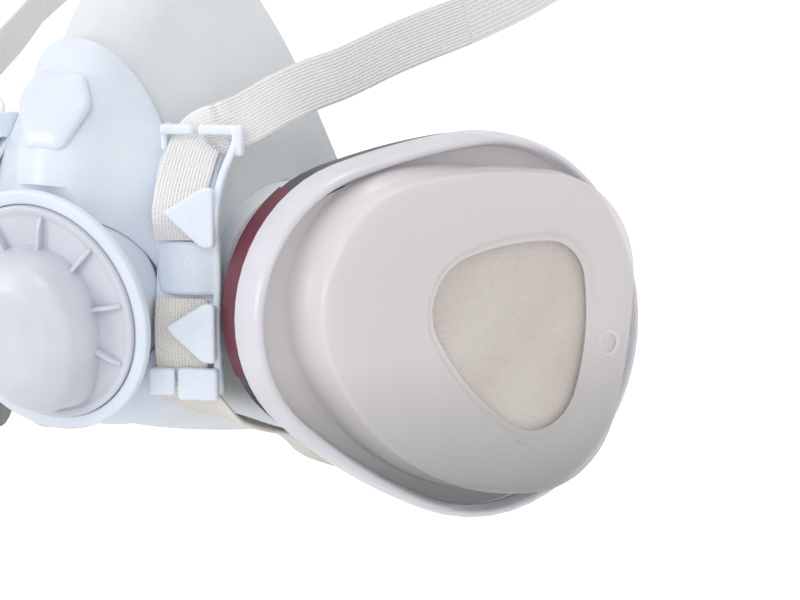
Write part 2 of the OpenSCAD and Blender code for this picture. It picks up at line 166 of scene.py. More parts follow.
def finish_mesh(name, bm, sharp=40):
    bmesh.ops.recalc_face_normals(bm, faces=bm.faces)
    mesh = bpy.data.meshes.new(name)
    bm.to_mesh(mesh)
    bm.free()
    mesh.shade_smooth()
    mesh.set_sharp_from_angle(angle=math.radians(sharp))
    piece = bpy.data.objects.new(name, mesh)
    bpy.context.scene.collection.objects.link(piece)
    return piece


def skin(name, rings, looped=False, sharp=40, uv=None):
    """Closed skin over rings of points in millimetres; looped joins the last ring to the first."""
    bm = bmesh.new()
    grid = [[bm.verts.new(Vector(p) * MM) for p in ring] for ring in rings]
    n, m = len(rings[0]), len(rings)
    spans = m if looped else m - 1
    layer = bm.loops.layers.uv.new("UVMap") if uv else None
    for i in range(spans):
        for j in range(n):
            corners = [(i, j), (i, j + 1), (i + 1, j + 1), (i + 1, j)]
            face = bm.faces.new([grid[a % m][b % n] for a, b in corners])
            if uv:
                for loop, (a, b) in zip(face.loops, corners):
                    loop[layer].uv = uv(a, b)
    if not looped:
        bm.faces.new(grid[0])
        bm.faces.new(list(reversed(grid[-1])))
    return finish_mesh(name, bm, sharp)


def lathe(name, profile, place, segments=96, looped=True, sharp=40):
    turns = [math.tau * k / segments for k in range(segments)]
    rings = [[place @ Vector((r * math.cos(a), r * math.sin(a), z)) for a in turns] for r, z in profile]
    return skin(name, rings, looped, sharp)


def layers(form, profile, place):
    """Rings of one outline, each grown and lifted by a point of profile."""
    return [[place @ Vector((p.x, p.y, h)) for p in outline(form, grow)] for grow, h in profile]


def stack(name, form, profile, place, looped=False, sharp=40):
    return skin(name, layers(form, profile, place), looped, sharp)


def sweep(name, route, widths, section, place=HERE, steps=6, sharp=40, uv=None):
    """Section (across, out) carried along a smooth route, with its width along widths."""
    path, sides = smooth(route, steps), smooth(widths, steps)
    last = len(path) - 1
    rings, run, runs = [], 0, []
    for i in range(last + 1):
        way = (path[min(i + 1, last)] - path[max(i - 1, 0)]).normalized()
        side = (sides[i] - way * sides[i].dot(way)).normalized()
        out = way.cross(side)
        run += (path[i] - path[i - 1]).length if i else 0
        runs.append(run)
        rings.append([place @ (path[i] + side * a + out * b) for a, b in section])
    lay = (lambda a, b: uv(runs[a], b)) if uv else None
    return skin(name, rings, False, sharp, lay)


def round_box(w, h, radius, steps=3):
    a, b = w / 2, h / 2
    return fillet([(a, b), (-a, b), (-a, -b), (a, -b)], radius, closed=True, steps=steps)


def prism(name, points, low, high, place, bevel=0.4, segments=3):
    """Outline pulled from low to high with its edges rounded."""
    bm = bmesh.new()
    rings = [[bm.verts.new((place @ Vector((x, y, z))) * MM) for x, y in points] for z in (low, high)]
    n = len(points)
    for j in range(n):
        bm.faces.new([rings[0][j], rings[0][(j + 1) % n], rings[1][(j + 1) % n], rings[1][j]])
    bm.faces.new(rings[0])
    bm.faces.new(rings[1])
    bmesh.ops.recalc_face_normals(bm, faces=bm.faces)
    bmesh.ops.bevel(bm, geom=list(bm.edges), offset=bevel * MM, segments=segments, affect="EDGES", profile=0.5)
    return finish_mesh(name, bm)


def bar(name, low, high, place, bevel=0.4):
    x0, y0, z0 = low
    x1, y1, z1 = high
    return prism(name, [(x0, y0), (x1, y0), (x1, y1), (x0, y1)], z0, z1, place, bevel)


def drop(piece):
    bpy.data.objects.remove(piece, do_unlink=True)


def settle(piece, sharp=40):
    """Apply the piece's modifiers to its mesh."""
    depsgraph = bpy.context.evaluated_depsgraph_get()
    mesh = bpy.data.meshes.new_from_object(piece.evaluated_get(depsgraph))
    piece.modifiers.clear()
    piece.data = mesh
    mesh.shade_smooth()
    mesh.set_sharp_from_angle(angle=math.radians(sharp))
    return piece


def carve(piece, tools, operation="DIFFERENCE", sharp=40):
    for tool in tools:
        cut = piece.modifiers.new("cut", "BOOLEAN")
        cut.operation, cut.solver, cut.object = operation, "EXACT", tool
    settle(piece, sharp)
    for tool in tools:
        drop(tool)
    return piece


def fuse(name, parts, voxel=0.3, smoothing=3):
    """Parts joined into one moulded piece with soft fillets."""
    bm = bmesh.new()
    for part in parts:
        bm.from_mesh(part.data)
        drop(part)
    piece = finish_mesh(name, bm)
    remesh = piece.modifiers.new("fuse", "REMESH")
    remesh.mode, remesh.voxel_size = "VOXEL", voxel * MM
    relax = piece.modifiers.new("relax", "SMOOTH")
    relax.factor, relax.iterations = 0.5, smoothing
    return settle(piece, 180)


def merge(name, parts, sharp=40):
    bm = bmesh.new()
    for part in parts:
        bm.from_mesh(part.data)
        drop(part)
    return finish_mesh(name, bm, sharp)


def mirrored_copy(piece, name):
    bm = bmesh.new()
    bm.from_mesh(piece.data)
    bmesh.ops.transform(bm, matrix=Matrix.Diagonal((-1, 1, 1, 1)), verts=bm.verts)
    bmesh.ops.reverse_faces(bm, faces=bm.faces)
    mesh = bpy.data.meshes.new(name)
    bm.to_mesh(mesh)
    bm.free()
    copy = bpy.data.objects.new(name, mesh)
    bpy.context.scene.collection.objects.link(copy)
    for material in piece.data.materials:
        mesh.materials.append(material)
    return copy


def drill(radius, low, high, place, segments=96):
    return lathe("drill", [(radius, low), (radius, high)], place, segments, looped=False)


# ---- materials ----

def linear(r, g, b):
    """Display colour, 0 to 255, as a linear colour."""
    def one(c):
        c /= 255
        return c / 12.92 if c <= 0.04045 else ((c + 0.055) / 1.055) ** 2.4
    return (one(r), one(g), one(b), 1)


class Recipe:
    """A node material under construction."""

    def __init__(self, name, **fixed):
        self.material = bpy.data.materials.new(name)
        self.material.use_nodes = True
        self.tree = self.material.node_tree
        self.shader = self.tree.nodes["Principled BSDF"]
        for key, value in fixed.items():
            self.shader.inputs[key.replace("_", " ")].default_value = value
        self.bump_chain = None

    def add(self, kind, settings=None, **inputs):
        node = self.tree.nodes.new("ShaderNode" + kind)
        for key, value in (settings or {}).items():
            setattr(node, key, value)
        for key, value in inputs.items():
            self.feed(node, key.replace("_", " "), value)
        return node

    def feed(self, node, key, value):
        socket = node.inputs[int(key[1:])] if key[0] == "i" and key[1:].isdigit() else node.inputs[key]
        if hasattr(value, "is_output"):
            self.tree.links.new(value, socket)
        else:
            socket.default_value = value

    def place(self):
        return self.add("TexCoord").outputs["Object"]

    def uv(self):
        return self.add("TexCoord").outputs["UV"]

    def noise(self, scale, detail=3, vector=None, roughness=0.5):
        node = self.add("TexNoise", Vector=vector or self.place(), Scale=scale, Detail=detail,
                        Roughness=roughness)
        return node.outputs["Fac"]

    def ramp(self, factor, stops):
        node = self.add("ValToRGB", Fac=factor)
        node.color_ramp.elements[0].position, node.color_ramp.elements[0].color = stops[0]
        node.color_ramp.elements[1].position, node.color_ramp.elements[1].color = stops[-1]
        for position, color in stops[1:-1]:
            node.color_ramp.elements.new(position).color = color
        return node.outputs["Color"]

    def math(self, operation, a, b=0.0):
        return self.add("Math", {"operation": operation}, i0=a, i1=b).outputs[0]

    def color(self, value):
        self.feed(self.shader, "Base Color", value)

    def rough(self, factor, low, high):
        span = self.add("MapRange", Value=factor, i3=low, i4=high)
        self.feed(self.shader, "Roughness", span.outputs[0])

    def bump(self, height, distance, strength=1.0):
        node = self.add("Bump", Height=height, Distance=distance * MM, Strength=strength)
        if self.bump_chain:
            self.feed(node, "Normal", self.bump_chain)
        self.bump_chain = node.outputs["Normal"]
        self.feed(self.shader, "Normal", self.bump_chain)


def moulded(name, light, dark, rough=(0.35, 0.5), patch=60, grain=2500, depth=0.01, **fixed):
    """Moulded plastic or rubber: cloudy colour, fine surface grain and slightly uneven gloss."""
    r = Recipe(name, **fixed)
    cloud = r.noise(patch, 4)
    r.color(r.ramp(cloud, [(0.35, linear(*dark)), (0.65, linear(*light))]))
    r.rough(r.noise(patch * 3, 5), *rough)
    r.bump(r.noise(grain, 2), depth)
    r.bump(r.noise(patch * 2, 2), 0.06, 0.6)
    return r.material


def frosted_with_painted_shade(name, light, dark, shade_heights, rough=(0.18, 0.3), **fixed):
    """Milky plastic whose colour greys towards the bottom: painted shade, where less light reaches its inside.
    """
    r = Recipe(name, **fixed)
    height = r.add("SeparateXYZ", Vector=r.place()).outputs["Z"]
    # painted shade: the colour runs from dark low on the cover to light higher up, with a little cloud noise
    # added
    painted_shade = r.add("MapRange", Value=height, i1=shade_heights[0], i2=shade_heights[1])
    shade_and_cloud = r.math("ADD", painted_shade.outputs[0], r.math("MULTIPLY", r.noise(40, 4), 0.12))
    r.color(r.ramp(shade_and_cloud, [(0.0, linear(*dark)), (1.0, linear(*light))]))
    r.rough(r.noise(130, 5), *rough)
    r.bump(r.noise(2200, 2), 0.004)
    r.bump(r.noise(90, 2), 0.04, 0.5)
    return r.material


def woven(name, light, dark, rib_pitch=0.78, pick_pitch=0.46, slant=0.0):
    """Narrow elastic webbing: ribs along it, picks across it and single threads in them."""
    r = Recipe(name, Roughness=0.85, Sheen_Weight=0.25, Sheen_Roughness=0.5)
    spot = r.add("SeparateXYZ", Vector=r.uv())
    u, v = spot.outputs["X"], spot.outputs["Y"]
    lean = r.math("ADD", v, r.math("MULTIPLY", u, slant))
    rib = r.math("SINE", r.math("MULTIPLY", u, math.tau / (rib_pitch * MM)))
    pick = r.math("SINE", r.math("MULTIPLY", lean, math.tau / (pick_pitch * MM)))
    knit = r.math("ADD", r.math("MULTIPLY", pick, r.math("ADD", rib, 1.3)), r.math("MULTIPLY", rib, 0.8))
    fuzz = r.noise(4000, 3)
    shade = r.math("ADD", r.math("MULTIPLY", knit, 0.16), r.math("MULTIPLY", fuzz, 0.5))
    r.color(r.ramp(r.math("ADD", shade, 0.25), [(0.15, linear(*dark)), (0.6, linear(*light))]))
    r.bump(knit, 0.05)
    r.bump(fuzz, 0.03)
    return r.material


def felted(name, light, dark):
    r = Recipe(name, Roughness=0.95, Sheen_Weight=0.3)
    stretched = r.add("Mapping", Vector=r.place(), Scale=(1, 1, 3))
    fibre = r.noise(900, 6, stretched.outputs[0], 0.7)
    patches = r.noise(45, 5)
    r.color(r.ramp(r.math("ADD", r.math("MULTIPLY", fibre, 0.5), r.math("MULTIPLY", patches, 0.5)),
                   [(0.38, linear(*dark)), (0.62, linear(*light))]))
    r.bump(fibre, 0.25)
    r.bump(r.noise(3500, 3), 0.08)
    return r.material


def granular(name, light, dark):
    r = Recipe(name, Roughness=0.8)
    grains = r.add("TexVoronoi", Vector=r.place(), Scale=900.0).outputs["Distance"]
    # each grain is lighter at its middle and darker towards its edge: painted shade in the gaps between the
    # granules
    r.color(r.ramp(grains, [(0.1, linear(*light)), (0.6, linear(*dark))]))
    r.bump(r.math("MULTIPLY", grains, -1.0), 0.5)
    return r.material


SILICONE = moulded("silicone", (225, 229, 232), (215, 220, 223), (0.38, 0.52), 40, 1800, 0.012,
                   Subsurface_Weight=0.12, Subsurface_Scale=0.004)
SHELL = moulded("shell_plastic", (221, 228, 238), (212, 220, 232), (0.26, 0.4), 50, 2600, 0.006,
                Subsurface_Weight=0.08, Subsurface_Scale=0.003)
VALVE_CAP = moulded("valve_cap_plastic", (209, 211, 221), (200, 203, 213), (0.24, 0.36), 60, 2600, 0.006)
ANCHOR_PLASTIC = moulded("anchor_plastic", (230, 238, 248), (221, 230, 242), (0.2, 0.34), 60, 2600, 0.006,
                         Subsurface_Weight=0.1, Subsurface_Scale=0.002)
FLAP = moulded("flap_rubber", (222, 226, 228), (208, 212, 214), (0.4, 0.55), 60, 1800, 0.01)
SEAL = moulded("seal_rubber", (52, 53, 56), (38, 39, 42), (0.55, 0.7), 60, 1800, 0.02)
CASE = moulded("case_plastic", (70, 75, 78), (56, 61, 64), (0.3, 0.45), 60, 2600, 0.01)
LABEL = moulded("label_film", (112, 50, 64), (100, 43, 56), (0.3, 0.42), 90, 3200, 0.004)
# the retainer's colour goes from light at the top to grey at the bottom of the cover: painted shade
RETAINER_PAINTED_SHADE = frosted_with_painted_shade("retainer_plastic_painted_shade", (240, 235, 236), (158, 159, 160), (-0.054, -0.006), Alpha=0.66)
RETAINER_SKIRT = moulded("retainer_skirt_plastic", (233, 232, 239), (224, 223, 230), (0.16, 0.28), 45, 2200,
                         0.004, Alpha=0.8)
WEBBING = woven("webbing", (247, 246, 246), (235, 233, 231))
LOWER_WEBBING = woven("lower_webbing", (245, 241, 233), (232, 226, 216))
BAND = woven("band_webbing", (246, 244, 243), (233, 230, 228), 1.1, 0.8, 0.9)
PAD = felted("pad_fibre", (222, 215, 209), (207, 199, 192))
# the darker colour is painted shade in the gaps between the granules
CARBON = granular("carbon_granules", (46, 46, 48), (14, 14, 15))


def wear(piece, body, slot, material, *nodes):
    """Ride the piece on its body, with its finish, in place of the CAD nodes it stands for."""
    if not piece.data.materials:
        piece.data.materials.append(material)
    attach(piece, body)
    if nodes:
        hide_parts(*nodes)
    return piece


def keep(node, material):
    """Give a CAD node that stays in view its finished material."""
    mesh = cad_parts[node].data
    mesh.materials.clear()
    mesh.materials.append(material)


# ---- facepiece and shell ----

def rim_y(z):
    return 2 - 16 * ((z - 40) / 52) ** 3 if z > 40 else 2


def front_y(z):
    return -42 - (16 if z > 0 else 8) * (z / 20) ** 2


def mask_point(f, r, t, grow):
    u = r.normalized()
    bulge = 22 + (16 * (2 * u.x * u.y) ** 2 if u.y > 0 else 0)
    a, c = Vector((f.x, front_y(f.y), f.y)), Vector((r.x, rim_y(r.y), r.y))
    b = (a + c) / 2 + Vector((3 * u.x, -bulge, 3 * u.y))
    p = a * (1 - t) ** 2 + b * 2 * t * (1 - t) + c * t * t
    return p - Vector((0, grow * (1 - t), 0))


def mask_ring(reach, grow=0.0, steps=24):
    front, rim = outline(FRONT, grow, steps), outline(RIM, grow, steps)
    reach = reach if isinstance(reach, list) else [reach] * len(rim)
    return [mask_point(f, r, t, grow) for f, r, t in zip(front, rim, reach)]


def lip_ring(grow, lift, steps=24):
    return [Vector((p.x, rim_y(p.y) + lift, p.y)) for p in outline(RIM, grow, steps)]


def facepiece():
    lip = [(-0.3, 1.1), (-1.4, 2.1), (-3.2, 2.8), (-6, 3.2), (-9.5, 3.3), (-11.6, 3.1), (-12.3, 2.5),
           (-12.1, 1.8), (-11, 1.4), (-8, 1.2), (-5, 0.8)]
    rings = [mask_ring(k / 30) for k in range(31)]
    rings += [lip_ring(grow, lift) for grow, lift in lip]
    rings += [mask_ring(0.97 * k / 24, -WALL) for k in range(24, -1, -1)]
    piece = skin("facepiece_silicone", rings, looped=True)
    collars, cuts = [], []
    for side in (1, -1):
        port = port_frame(side)
        ring = [(PORT_R + 2, -12), (PORT_R + 9, -12), (PORT_R + 9, -4.4), (PORT_R + 2, -4.4)]
        collars.append(lathe("collar", fillet(ring, 1, closed=True), port))
        cuts.append(drill(PORT_R + 3.9, -18, 12, port))
        cuts.append(drill(PORT_R + 7.5, -26, -12, port))
    cuts.append(drill(TOWER_R - 1, -30, 10, VALVE))
    cuts.append(drill(TOWER_R + 0.3, -16.8, 13.2, VALVE))
    carve(piece, collars, "UNION")
    carve(piece, cuts)
    wear(piece, "mask", "silicone", SILICONE, "facepiece")


def front_shell():
    inner, thick = 0.4, 2
    edge = []
    for p in outline(RIM, 0, 24):
        edge.append(0.38 + 0.165 * max(0, p.normalized().y) ** 6)
    rings = [mask_ring([e * k / 16 for e in edge], inner + thick) for k in range(17)]
    for k in range(1, 8):
        turn = math.pi * k / 8
        level = inner + thick / 2 * (1 + math.cos(turn))
        rings.append(mask_ring([e + 0.02 * math.sin(turn) for e in edge], level))
    rings += [mask_ring([e * k / 16 for e in edge], inner) for k in range(16, -1, -1)]
    piece = skin("front_shell_cover", rings, looped=True)
    cuts = [drill(TOWER_R + 0.3, -30, 30, VALVE), drill(VALVE_R + 0.05, -7, 23, VALVE)]
    cuts += [drill(PORT_R + 9.4, -30, 30, port_frame(side)) for side in (1, -1)]
    carve(piece, cuts)
    wear(piece, "mask", "shell", SHELL, "front_shell")


def size_plate():
    corners = [(-6.6, 9.5), (-10.4, 2), (-5.4, -9.5), (5.4, -9.5), (10.4, 2), (6.6, 9.5)]
    ring = fillet(corners, 2.2, closed=True, steps=8)
    place = placed((0, -56.6, 47), 0, 90 - 24)
    levels = [(1, 0), (1, 0.9), (0.985, 1.3), (0.95, 1.6), (0.85, 2.1), (0.72, 2.55), (0.66, 2.7), (0.6, 2.78),
              (0.3, 2.9), (0.02, 2.92)]
    rings = [[place @ Vector((p.x * s, p.y * s, z)) for p in ring] for s, z in levels]
    wear(skin("size_plate_blank", rings, sharp=60), "mask", "shell", SHELL, "size_plate")


# ---- exhalation valve ----

def valve_housing():
    rim_in = VALVE_R - 3.4
    profile = [(rim_in, 0), (VALVE_R, 0), (VALVE_R, -2), (TOWER_R + 2.4, -6.5), (TOWER_R, -8), (TOWER_R, -16.5),
               (TOWER_R - 1, -16.5), (TOWER_R - 1, -22), (TOWER_BORE, -22), (TOWER_BORE, -5.6), (rim_in, -4.5)]
    piece = lathe("valve_housing_ring", fillet(profile, 0.7, closed=True), VALVE, 128)
    wear(piece, "mask", "shell", SHELL, "valve_housing")


def shield_rings(radius, height, drop_by, scallop=0.0):
    """Rings of a smooth dome whose outline is stretched downwards and scalloped at the bottom."""
    profile = fillet([(1, -0.6), (0.985, height * 0.32), (0.86, height * 0.74), (0.55, height * 0.95),
                      (0.22, height), (0.02, height)], 4, steps=6)
    rings = []
    for part, z in profile:
        ring = []
        for k in range(144):
            a = math.tau * k / 144
            low = max(0.0, -math.sin(a))
            fringe = scallop * low ** 2 * math.cos(9 * (a + math.pi / 2)) * max(0.0, 1 - z / height * 1.6)
            reach = radius * part + fringe
            shift = drop_by * min(1.0, low * 1.6) * (0.25 + 0.75 * part)
            ring.append(Vector((reach * math.cos(a), reach * math.sin(a) - shift, z)))
        rings.append(ring)
    return rings


def exhalation_cover():
    cover_r, shield_r = VALVE_R - 3.5, 17
    tray = [(1.5, -0.6), (cover_r - 1.5, -0.6), (cover_r - 1.5, -3.6), (cover_r, -3.6), (cover_r, 1.0),
            (cover_r - 1.4, 1.0), (cover_r - 2.4, 0.5), (shield_r + 1, 0.4), (1.5, 0.4)]
    parts = [lathe("tray", fillet(tray, 0.5, closed=True), VALVE, 128)]
    for turn in (-25, 10, 45, 80, 115, 150, 185, 220):
        spin = VALVE @ Matrix.Rotation(math.radians(turn), 4, "Z")
        wedge = [(shield_r - 2, 0.2), (shield_r + 7.8, 0.2), (shield_r + 7.8, 1.3), (shield_r + 5, 2.2),
                 (shield_r - 2, 2.6)]
        side_on = spin @ Matrix.Rotation(math.radians(90), 4, "X")
        parts.append(prism("rib", wedge, -0.5, 0.5, side_on, 0.2, 2))
    rings = [[VALVE @ p for p in ring] for ring in shield_rings(shield_r, 12.5, 7.5, 0.9)]
    parts.append(skin("dome", rings))
    piece = merge("exhalation_cover_shield", parts)
    wear(piece, "valve_cover", "valve_grey", VALVE_CAP, "exhalation_cover")


# ---- strap anchors ----

RAIL_IN = STRAP_W / 2 + 0.7
RAIL_OUT = RAIL_IN + 1.7
RAIL = [(13.4, 43.5, 3.6), (12.2, 39, 4.8), (10.3, 33.5, 7.6), (9.2, 28, 10), (8.8, 22.5, 10.6), (8.7, 17, 8.8),
        (8.7, 11, 7.8), (8.7, 5, 8), (8.7, -3, 9.8), (8.7, -9, 9.2), (8.7, -14, 8.2), (8.7, -19, 6.4)]
SADDLE = [(2, 39.5, -1.4), (1.2, 33, 5), (0.6, 25, 8.9), (0.6, 18, 7.1), (0.6, 11, 5), (0.6, 3.6, 6.6),
          (0.6, -4, 8.5), (0.6, -10, 7.6), (0.6, -15, 6.2)]
BAR_X, BAR_Y, BAR_Z = -5.4, 42.2, 4
HOOK_LIFT = 11.8


def strap_anchors():
    place = anchor_frame(1)
    edge = -STRAP_W / 2 - 1.6
    parts = [
        sweep("rail", RAIL, [(0, 0, 1)] * len(RAIL), round_box(3.4, 1.9, 0.8), place),
        sweep("saddle", SADDLE, [(1, 0, 0)] * len(SADDLE), round_box(STRAP_W + 2, 1.4, 0.5), place),
        bar("bar", (BAR_X, BAR_Y, BAR_Z - 1), (BAR_X + 8, BAR_Y + 2.4, BAR_Z + 1.8), place, 0.8),
        bar("prong", (BAR_X, BAR_Y - 4, -2), (BAR_X + 1.4, BAR_Y + 2.2, 4.2), place, 0.5),
        bar("bar", (3.8, BAR_Y, BAR_Z - 1), (14.6, BAR_Y + 2.4, BAR_Z + 1.8), place, 0.8),
        bar("prong", (12, BAR_Y - 5, 2.4), (14.6, BAR_Y + 2.2, 6.2), place, 0.7),
        bar("clip", (edge, -19.4, 9.4), (edge + 6.4, -12.8, 11.6), place, 0.9),
        bar("clip", (edge, -19, 5), (edge + 1.4, -13, 10), place, 0.5),
        bar("clip", (-0.8, -20.4, 9.4), (RAIL_OUT + 0.4, -12.6, 11.8), place, 0.9),
    ]
    # the block between the hooks bows outwards, and the rail runs down its right side
    front = fillet([(-5.6, 7.2), (-2, 9.2), (4, 10), (8.8, 8.8), (9.4, 5.2), (-5.8, 5)], 1.4, closed=True)
    middle = Vector((1.8, 7.4))
    rings = []
    for y, grow in ((4.6, -0.8), (5.4, 0), (11, 0.5), (16.6, 0), (17.4, -0.8)):
        section = [p + (p - middle).normalized() * grow for p in front]
        rings.append([place @ Vector((q.x, y, q.y)) for q in section])
    parts.append(skin("block", rings))
    for low in (17, -10.5):
        shift = place @ Matrix.Translation((0, low, HOOK_LIFT))
        hook = [(RAIL_OUT + 0.3, -0.4), (RAIL_OUT + 0.3, 13.7), (RAIL_IN - 0.6, 14), (-3, 8), (-1.4, 6),
                (RAIL_IN - 1, -0.4)]
        parts.append(prism("hook", fillet(hook, 1.2, closed=True), -0.4, 2, shift, 0.8, 4))
        parts.append(bar("post", (RAIL_IN, low, 8.5), (RAIL_OUT, low + 13, 12.1), place, 0.4))
    left = fuse("strap_anchor_moulding_left", parts, 0.25, 2)
    right = mirrored_copy(left, "strap_anchor_moulding_right")
    wear(left, "mask", "shell", ANCHOR_PLASTIC, "strap_anchor_left")
    wear(right, "mask", "shell", ANCHOR_PLASTIC, "strap_anchor_right")


# ---- cartridges ----

def both(make):
    for side, name in ((1, "left"), (-1, "right")):
        make(side, name)


def label_film(name, place):
    """Printed film round the front of the case, between the two ends of its line."""
    turn = math.radians(LABEL_TURN)
    beyond = Vector((math.cos(turn), math.sin(turn)))
    inner, outer = outline(SKIRT, 1.62, 40), outline(SKIRT, 2, 40)
    kept = [(a, b) for a, b in zip(inner, outer) if (b - Vector(LABEL_END)).dot(beyond) < 0]
    gap = max(range(len(kept)), key=lambda k: (kept[k][1] - kept[k - 1][1]).length)
    kept = kept[gap:] + kept[:gap]
    low, high = BAND_LOW + 0.05, BAND_HIGH - 0.05
    rings = [[place @ Vector((*a, low)), place @ Vector((*b, low)), place @ Vector((*b, high)),
              place @ Vector((*a, high))] for a, b in kept]
    return skin(name, rings)


def cartridge(side, name):
    place = cartridge_frame(side)
    body = "cartridge_" + name
    floor_top, step_low, step_high = CASE_BACK + FLOOR_T, BAND_LOW - 0.4, SKIRT_LOW - 0.3
    case = [(-12, CASE_BACK), (-0.4, CASE_BACK), (-0.4, step_low), (1.6, step_low), (1.6, step_high),
            (0, step_high), (0, CASE_DEPTH), (-1.4, CASE_DEPTH), (-1.4, floor_top), (-12, floor_top)]
    shell = stack("cartridge_case_shell_" + name, SKIRT, fillet(case, 0.5, closed=True), place, looped=True)
    floor = stack("floor", SKIRT, [(-11.9, CASE_BACK + 0.02), (-11.9, floor_top - 0.02)], place)
    carve(floor, [drill(PORT_R - 2.4, -40, 40, port_frame(side))])
    port = port_frame(side)
    deep = floor_top - PORT_SET
    neck = [(PORT_R - 2.4, -10.4), (PORT_R - 0.3, -10.4), (PORT_R - 0.3, deep), (PORT_R - 2.4, deep)]
    parts = [shell, floor, lathe("neck", fillet(neck, 0.4, closed=True), port)]
    for turn in (0, 120, 240):
        spin = port @ Matrix.Rotation(math.radians(turn), 4, "Z")
        parts.append(bar("lug", (PORT_R - 1.8, -3.5, -9.6), (PORT_R + 1, 3.5, -7), spin, 0.3))
    wear(merge("cartridge_case_shell_" + name, parts), body, "case_black", CASE, "cartridge_case_" + name)

    wear(label_film("label_band_film_" + name, place), body, "label", LABEL, "label_band_" + name)

    low = [(-3.6, 10.7), (-2.8, 11.6), (-2.6, 14), (-2.8, 16.2), (-3.3, 17)]
    high = [(-3.1, 19), (-3.2, 21), (-3.8, 22.5), (-5.2, 23.3), (-7.5, 23.55)]
    rings = layers(BASE, low, place) + layers(DOME, high, place)
    wear(skin("particulate_pad_felt_" + name, rings, sharp=80), body, "pad", PAD, "particulate_pad_" + name)
    keep("carbon_bed_" + name, CARBON)
    keep("cartridge_grille_" + name, CASE)


def retainer(side, name):
    place = cartridge_frame(side)
    top, lift, crest = DOME_TOP, DOME_TOP - WINDOW_DROP, DOME_TOP - CREST_DROP
    wall = RETAINER_T
    skirt = [(3, SKIRT_LOW), (3, 9), (2.9, 12), (2.6, 14), (2.2, 15.2), (1.8, 15.8), (1.2, BEAD_TOP),
             (0.7, 15.7), (0.3, 14.8), (0, 13.2), (-0.28, 12.75)]
    foot = [(0.2, 12.35), (0, 12.7), (-0.1, 14), (-0.4, 17)]
    dome = [(0.8, 19.2), (0.5, 21), (0.2, 23), (0, crest), (-0.25, crest + 0.5), (-0.8, crest + 0.9),
            (-1.8, crest + 1.25), (-4, crest + 1.8), (-7, top - 0.3), (-9, top)]
    window = [(2.6, top), (2.0, top - 0.1), (1.4, top - 0.5), (0.9, top - 1.1), (0.4, lift + 0.1), (-0.6, lift)]
    inner_window = [(0.2, lift - wall), (0.8, lift - wall), (3, top - wall)]
    under = [(-8, top - wall), (-3.6, crest + 0.6), (-1.8, crest - 0.4), (-0.6, 19.6)]
    heel = [(-1.8, 17.4), (-1.3, 11.2)]
    socket = [(-0.28, 11.4), (2.1, 11.8), (2.2, SKIRT_LOW)]
    ledge, back = [(-0.32, 12.7), (-0.8, 12.4)], [(-1, 11.2), (-0.32, 11.4)]
    rings = []
    for form, levels in ((SKIRT, ledge), (BASE, foot), (DOME, dome), (WINDOW, window), (WINDOW, inner_window),
                         (DOME, under), (BASE, heel), (SKIRT, back)):
        rings += layers(form, levels, place)
    shell = skin("retainer_dome_" + name, rings, looped=True, sharp=50)
    rim = stack("retainer_skirt_" + name, SKIRT, skirt + socket, place, looped=True, sharp=50)
    wear(rim, "retainer_" + name, "retainer", RETAINER_SKIRT, "retainer_cover_" + name)
    # small round gate mark on the face, beyond the window
    gate = [(2.3, -0.3), (3.5, -0.3), (3.5, 0.22), (2.3, 0.22)]
    beside = place @ Matrix.Translation((69.8, -12.8, top - 0.1))
    mark = lathe("gate", fillet(gate, 0.3, closed=True), beside, 48)
    piece = merge("retainer_dome_" + name, [shell, mark], 50)
    wear(piece, "retainer_" + name, "retainer", RETAINER_PAINTED_SHADE, "retainer_cover_" + name)


# ---- harness ----

def on_anchor(points):
    turn = math.radians(ANCHOR_TURN)
    along, out = Vector((math.cos(turn), math.sin(turn), 0)), Vector((math.sin(turn), -math.cos(turn), 0))
    return [Vector(ANCHOR_ORIGIN) + along * p[0] + Vector((0, 0, p[1])) + out * p[2] for p in points]


UPPER = on_anchor([(0, 18, 9), (0, 25, 10.8), (1.2, 33.5, 7), (3.4, 41, 1.8)]) + [
    (35.6, -38.5, 43.2), (40, -35, 45.5), (44.7, -27, 49.5), (48, -18.5, 52.2), (52.3, -9.5, 54.7),
    (58, 8, 59.8), (66, 27.5, 65)]
UPPER_WIDTH = [(0.93, 0.36, 0), (0.93, 0.36, 0), (0.93, 0.36, 0), (0.93, 0.36, -0.1), (0.83, 0.38, -0.33),
               (0.74, 0.26, -0.62), (0.48, 0.06, -0.88), (0.3, 0.15, -0.94), (0.2, 0.25, -0.95),
               (0.2, 0.25, -0.94), (0.22, 0.2, -0.95)]
BAND_ROUTE = [(66.2, 28.2, 65.2), (72.5, 54, 72), (76, 82, 81), (71, 114, 93), (50, 142, 105), (25, 154, 111),
              (0, 158, 113)]
BAND_WIDTH = [(-0.22, -0.2, 0.95), (-0.25, -0.12, 0.96), (-0.3, -0.15, 0.94), (-0.3, -0.3, 0.9),
              (-0.25, -0.4, 0.87), (-0.12, -0.5, 0.85), (0, -0.52, 0.85)]
LOWER = on_anchor([(0, 3.6, 8.6), (0, -4, 10.4), (0, -11, 9.4), (0.4, -17.5, 7.4)]) + [
    (34.5, -42, -24.6), (38.5, -35, -28.5), (44.5, -23, -33.5), (48.5, -14, -38.8), (57, 12, -46),
    (62.5, 38, -50),
    (65, 55, -51.5), (66.5, 72, -52), (62, 98, -52), (46, 121, -52), (28, 132, -52), (17.2, 134, -52)]
LOWER_WIDTH = [(0.93, 0.36, 0), (0.93, 0.36, 0), (0.93, 0.36, 0), (0.93, 0.33, -0.1), (0.9, 0.2, -0.2),
               (0.85, 0, -0.2), (0.82, -0.3, 0.1), (0.7, -0.3, 0.5), (0.3, -0.1, 0.9), (0.1, 0, 1)]
LOWER_WIDTH += [(0, 0, 1)] * 6


